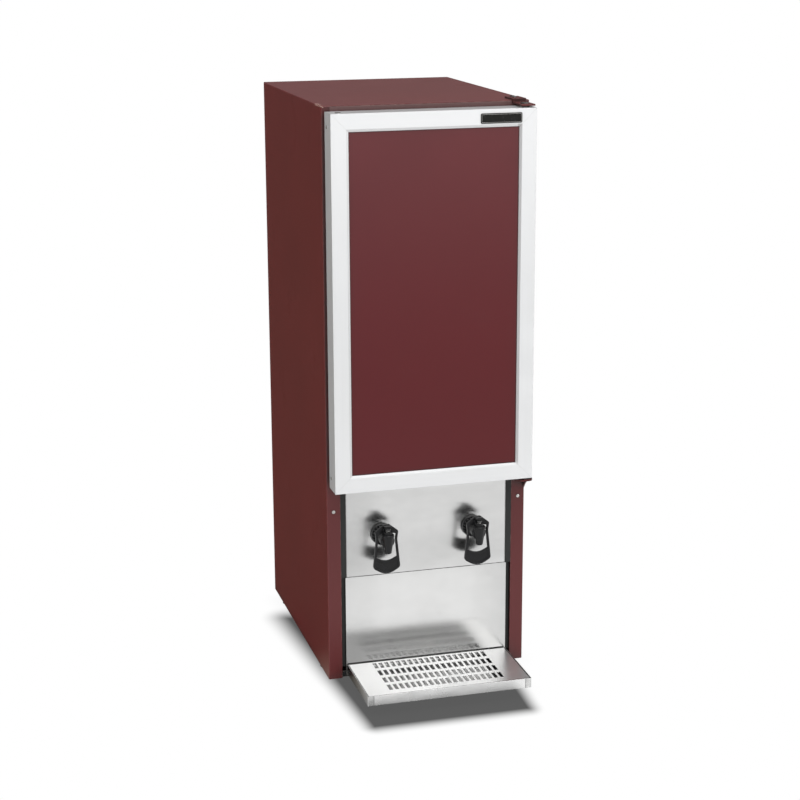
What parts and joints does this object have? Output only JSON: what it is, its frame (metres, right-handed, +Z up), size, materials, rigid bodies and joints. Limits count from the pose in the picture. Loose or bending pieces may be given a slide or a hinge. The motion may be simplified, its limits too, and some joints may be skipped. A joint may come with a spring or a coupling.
{
  "type": "refrigerated wine dispenser",
  "caption": "Tall countertop cooler with a hinged framed door, lever taps over a slotted drip tray, and a compressor in the base.",
  "frame": {"origin": "on the table top, under the middle of the box round the whole dispenser, drip tray included", "axes": "+X to the user's right, +Y from the taps to the back, +Z up"},
  "size_m": [0.32, 0.55, 0.9101],
  "materials": {
    "burgundy_paint": "satin powder coat",
    "frame_aluminium": "satin anodised",
    "stainless": "horizontal brushed",
    "black_plastic": "fine grain",
    "white_plastic": "moulded",
    "foam": "rigid polyurethane foam",
    "galvanised": "zinc spangle",
    "black_paint": "semi-gloss enamel",
    "zinc": "bright zinc plate",
    "copper": "drawn copper tube",
    "fin_aluminium": "bare fin stock",
    "cold_plate": "anodised roll-bond",
    "rubber": "moulded",
    "gasket": "soft vinyl",
    "tap_black": "polished moulding",
    "hose": "clear wine hose, filled",
    "nylon": "nylon",
    "spring_steel": "drawn wire"
  },
  "bodies": {
    "cabinet": {"outer_shell": "burgundy_paint", "top_rail": "burgundy_paint", "front_trim": "black_plastic", "tap_panel": "stainless", "splash_panel": "stainless", "tray_studs": "stainless", "inner_liner": "white_plastic", "insulation_foam": "foam", "rear_panel": "galvanised", "partition_plate": "galvanised", "base_plate": "black_paint", "feet": "rubber", "rear_grille": "black_paint", "case_screws": "zinc", "lower_shelf": "zinc", "upper_shelf": "zinc", "evaporator_plate": "cold_plate", "hose_left": "hose", "hose_right": "hose", "bag_connectors": "tap_black", "tap_body_left": "tap_black", "tap_body_right": "tap_black", "tap_spring_left": "spring_steel", "tap_spring_right": "spring_steel", "tap_washers": "rubber", "tap_nuts": "tap_black", "lever_pins": "stainless", "top_hinge_bracket": "burgundy_paint", "bottom_hinge_bracket": "burgundy_paint", "hinge_pins": "zinc", "hinge_screws": "zinc", "compressor": "black_paint", "compressor_grommets": "rubber", "relay_cover": "black_plastic", "condenser": "fin_aluminium", "fan_shroud": "galvanised", "fan_motor": "galvanised", "discharge_pipe": "copper", "suction_pipe": "copper", "filter_drier": "copper", "thermostat": "white_plastic", "mains_inlet": "black_plastic"},
    "door": {"door_stile_left": "frame_aluminium", "door_stile_right": "frame_aluminium", "door_rail_top": "frame_aluminium", "door_rail_bottom": "frame_aluminium", "door_panel": "burgundy_paint", "door_foam": "foam", "door_inner_panel": "white_plastic", "door_gasket": "gasket", "door_screws": "zinc", "hinge_bushes": "nylon"},
    "lever_left": {"tap_lever_left": "tap_black"},
    "lever_right": {"tap_lever_right": "tap_black"},
    "stem_left": {"valve_stem_left": "nylon"},
    "stem_right": {"valve_stem_right": "nylon"},
    "fan": {"fan_blade": "black_plastic"},
    "knob": {"thermostat_knob": "black_plastic"},
    "tray": {"drip_tray": "stainless"},
    "grille": {"drip_grille": "stainless"}
  },
  "joints": [
    {"name": "door_hinge", "type": "hinge", "parent": "cabinet", "child": "door", "pos_m": [0.142, -0.175, 0.6135], "axis": [0, 0, 1], "range_deg": [0, 115]},
    {"name": "lever_left_push", "type": "hinge", "parent": "cabinet", "child": "lever_left", "pos_m": [-0.0735, -0.1755, 0.262], "axis": [1, 0, 0], "range_deg": [0, 15], "stiffness_Nm_per_rad": 0.3, "springref_deg": -6.88},
    {"name": "stem_left_travel", "type": "slide", "parent": "cabinet", "child": "stem_left", "axis": [0, 0, 1], "range_m": [-0.0027, 0], "deforming": ["tap_spring_left"]},
    {"name": "lever_right_push", "type": "hinge", "parent": "cabinet", "child": "lever_right", "pos_m": [0.0735, -0.1755, 0.262], "axis": [1, 0, 0], "range_deg": [0, 15], "stiffness_Nm_per_rad": 0.3, "springref_deg": -6.88},
    {"name": "stem_right_travel", "type": "slide", "parent": "cabinet", "child": "stem_right", "axis": [0, 0, 1], "range_m": [-0.0027, 0], "deforming": ["tap_spring_right"]},
    {"name": "fan_spin", "type": "hinge", "parent": "cabinet", "child": "fan", "pos_m": [0.038, -0.045, 0.098], "axis": [0, 1, 0], "continuous": true},
    {"name": "knob_turn", "type": "hinge", "parent": "cabinet", "child": "knob", "pos_m": [-0.098, 0.26, 0.128], "axis": [0, 1, 0], "range_deg": [0, 270]},
    {"name": "tray_lift", "type": "slide", "parent": "cabinet", "child": "tray", "axis": [0, 0, 1], "range_m": [0, 0.06]},
    {"name": "grille_lift", "type": "slide", "parent": "tray", "child": "grille", "axis": [0, 0, 1], "range_m": [0, 0.03]}
  ],
  "couplings": [
    {"joint": "stem_left_travel", "follows": "lever_left_push", "m_per_rad": -0.0095},
    {"joint": "stem_right_travel", "follows": "lever_right_push", "m_per_rad": -0.0095}
  ]
}
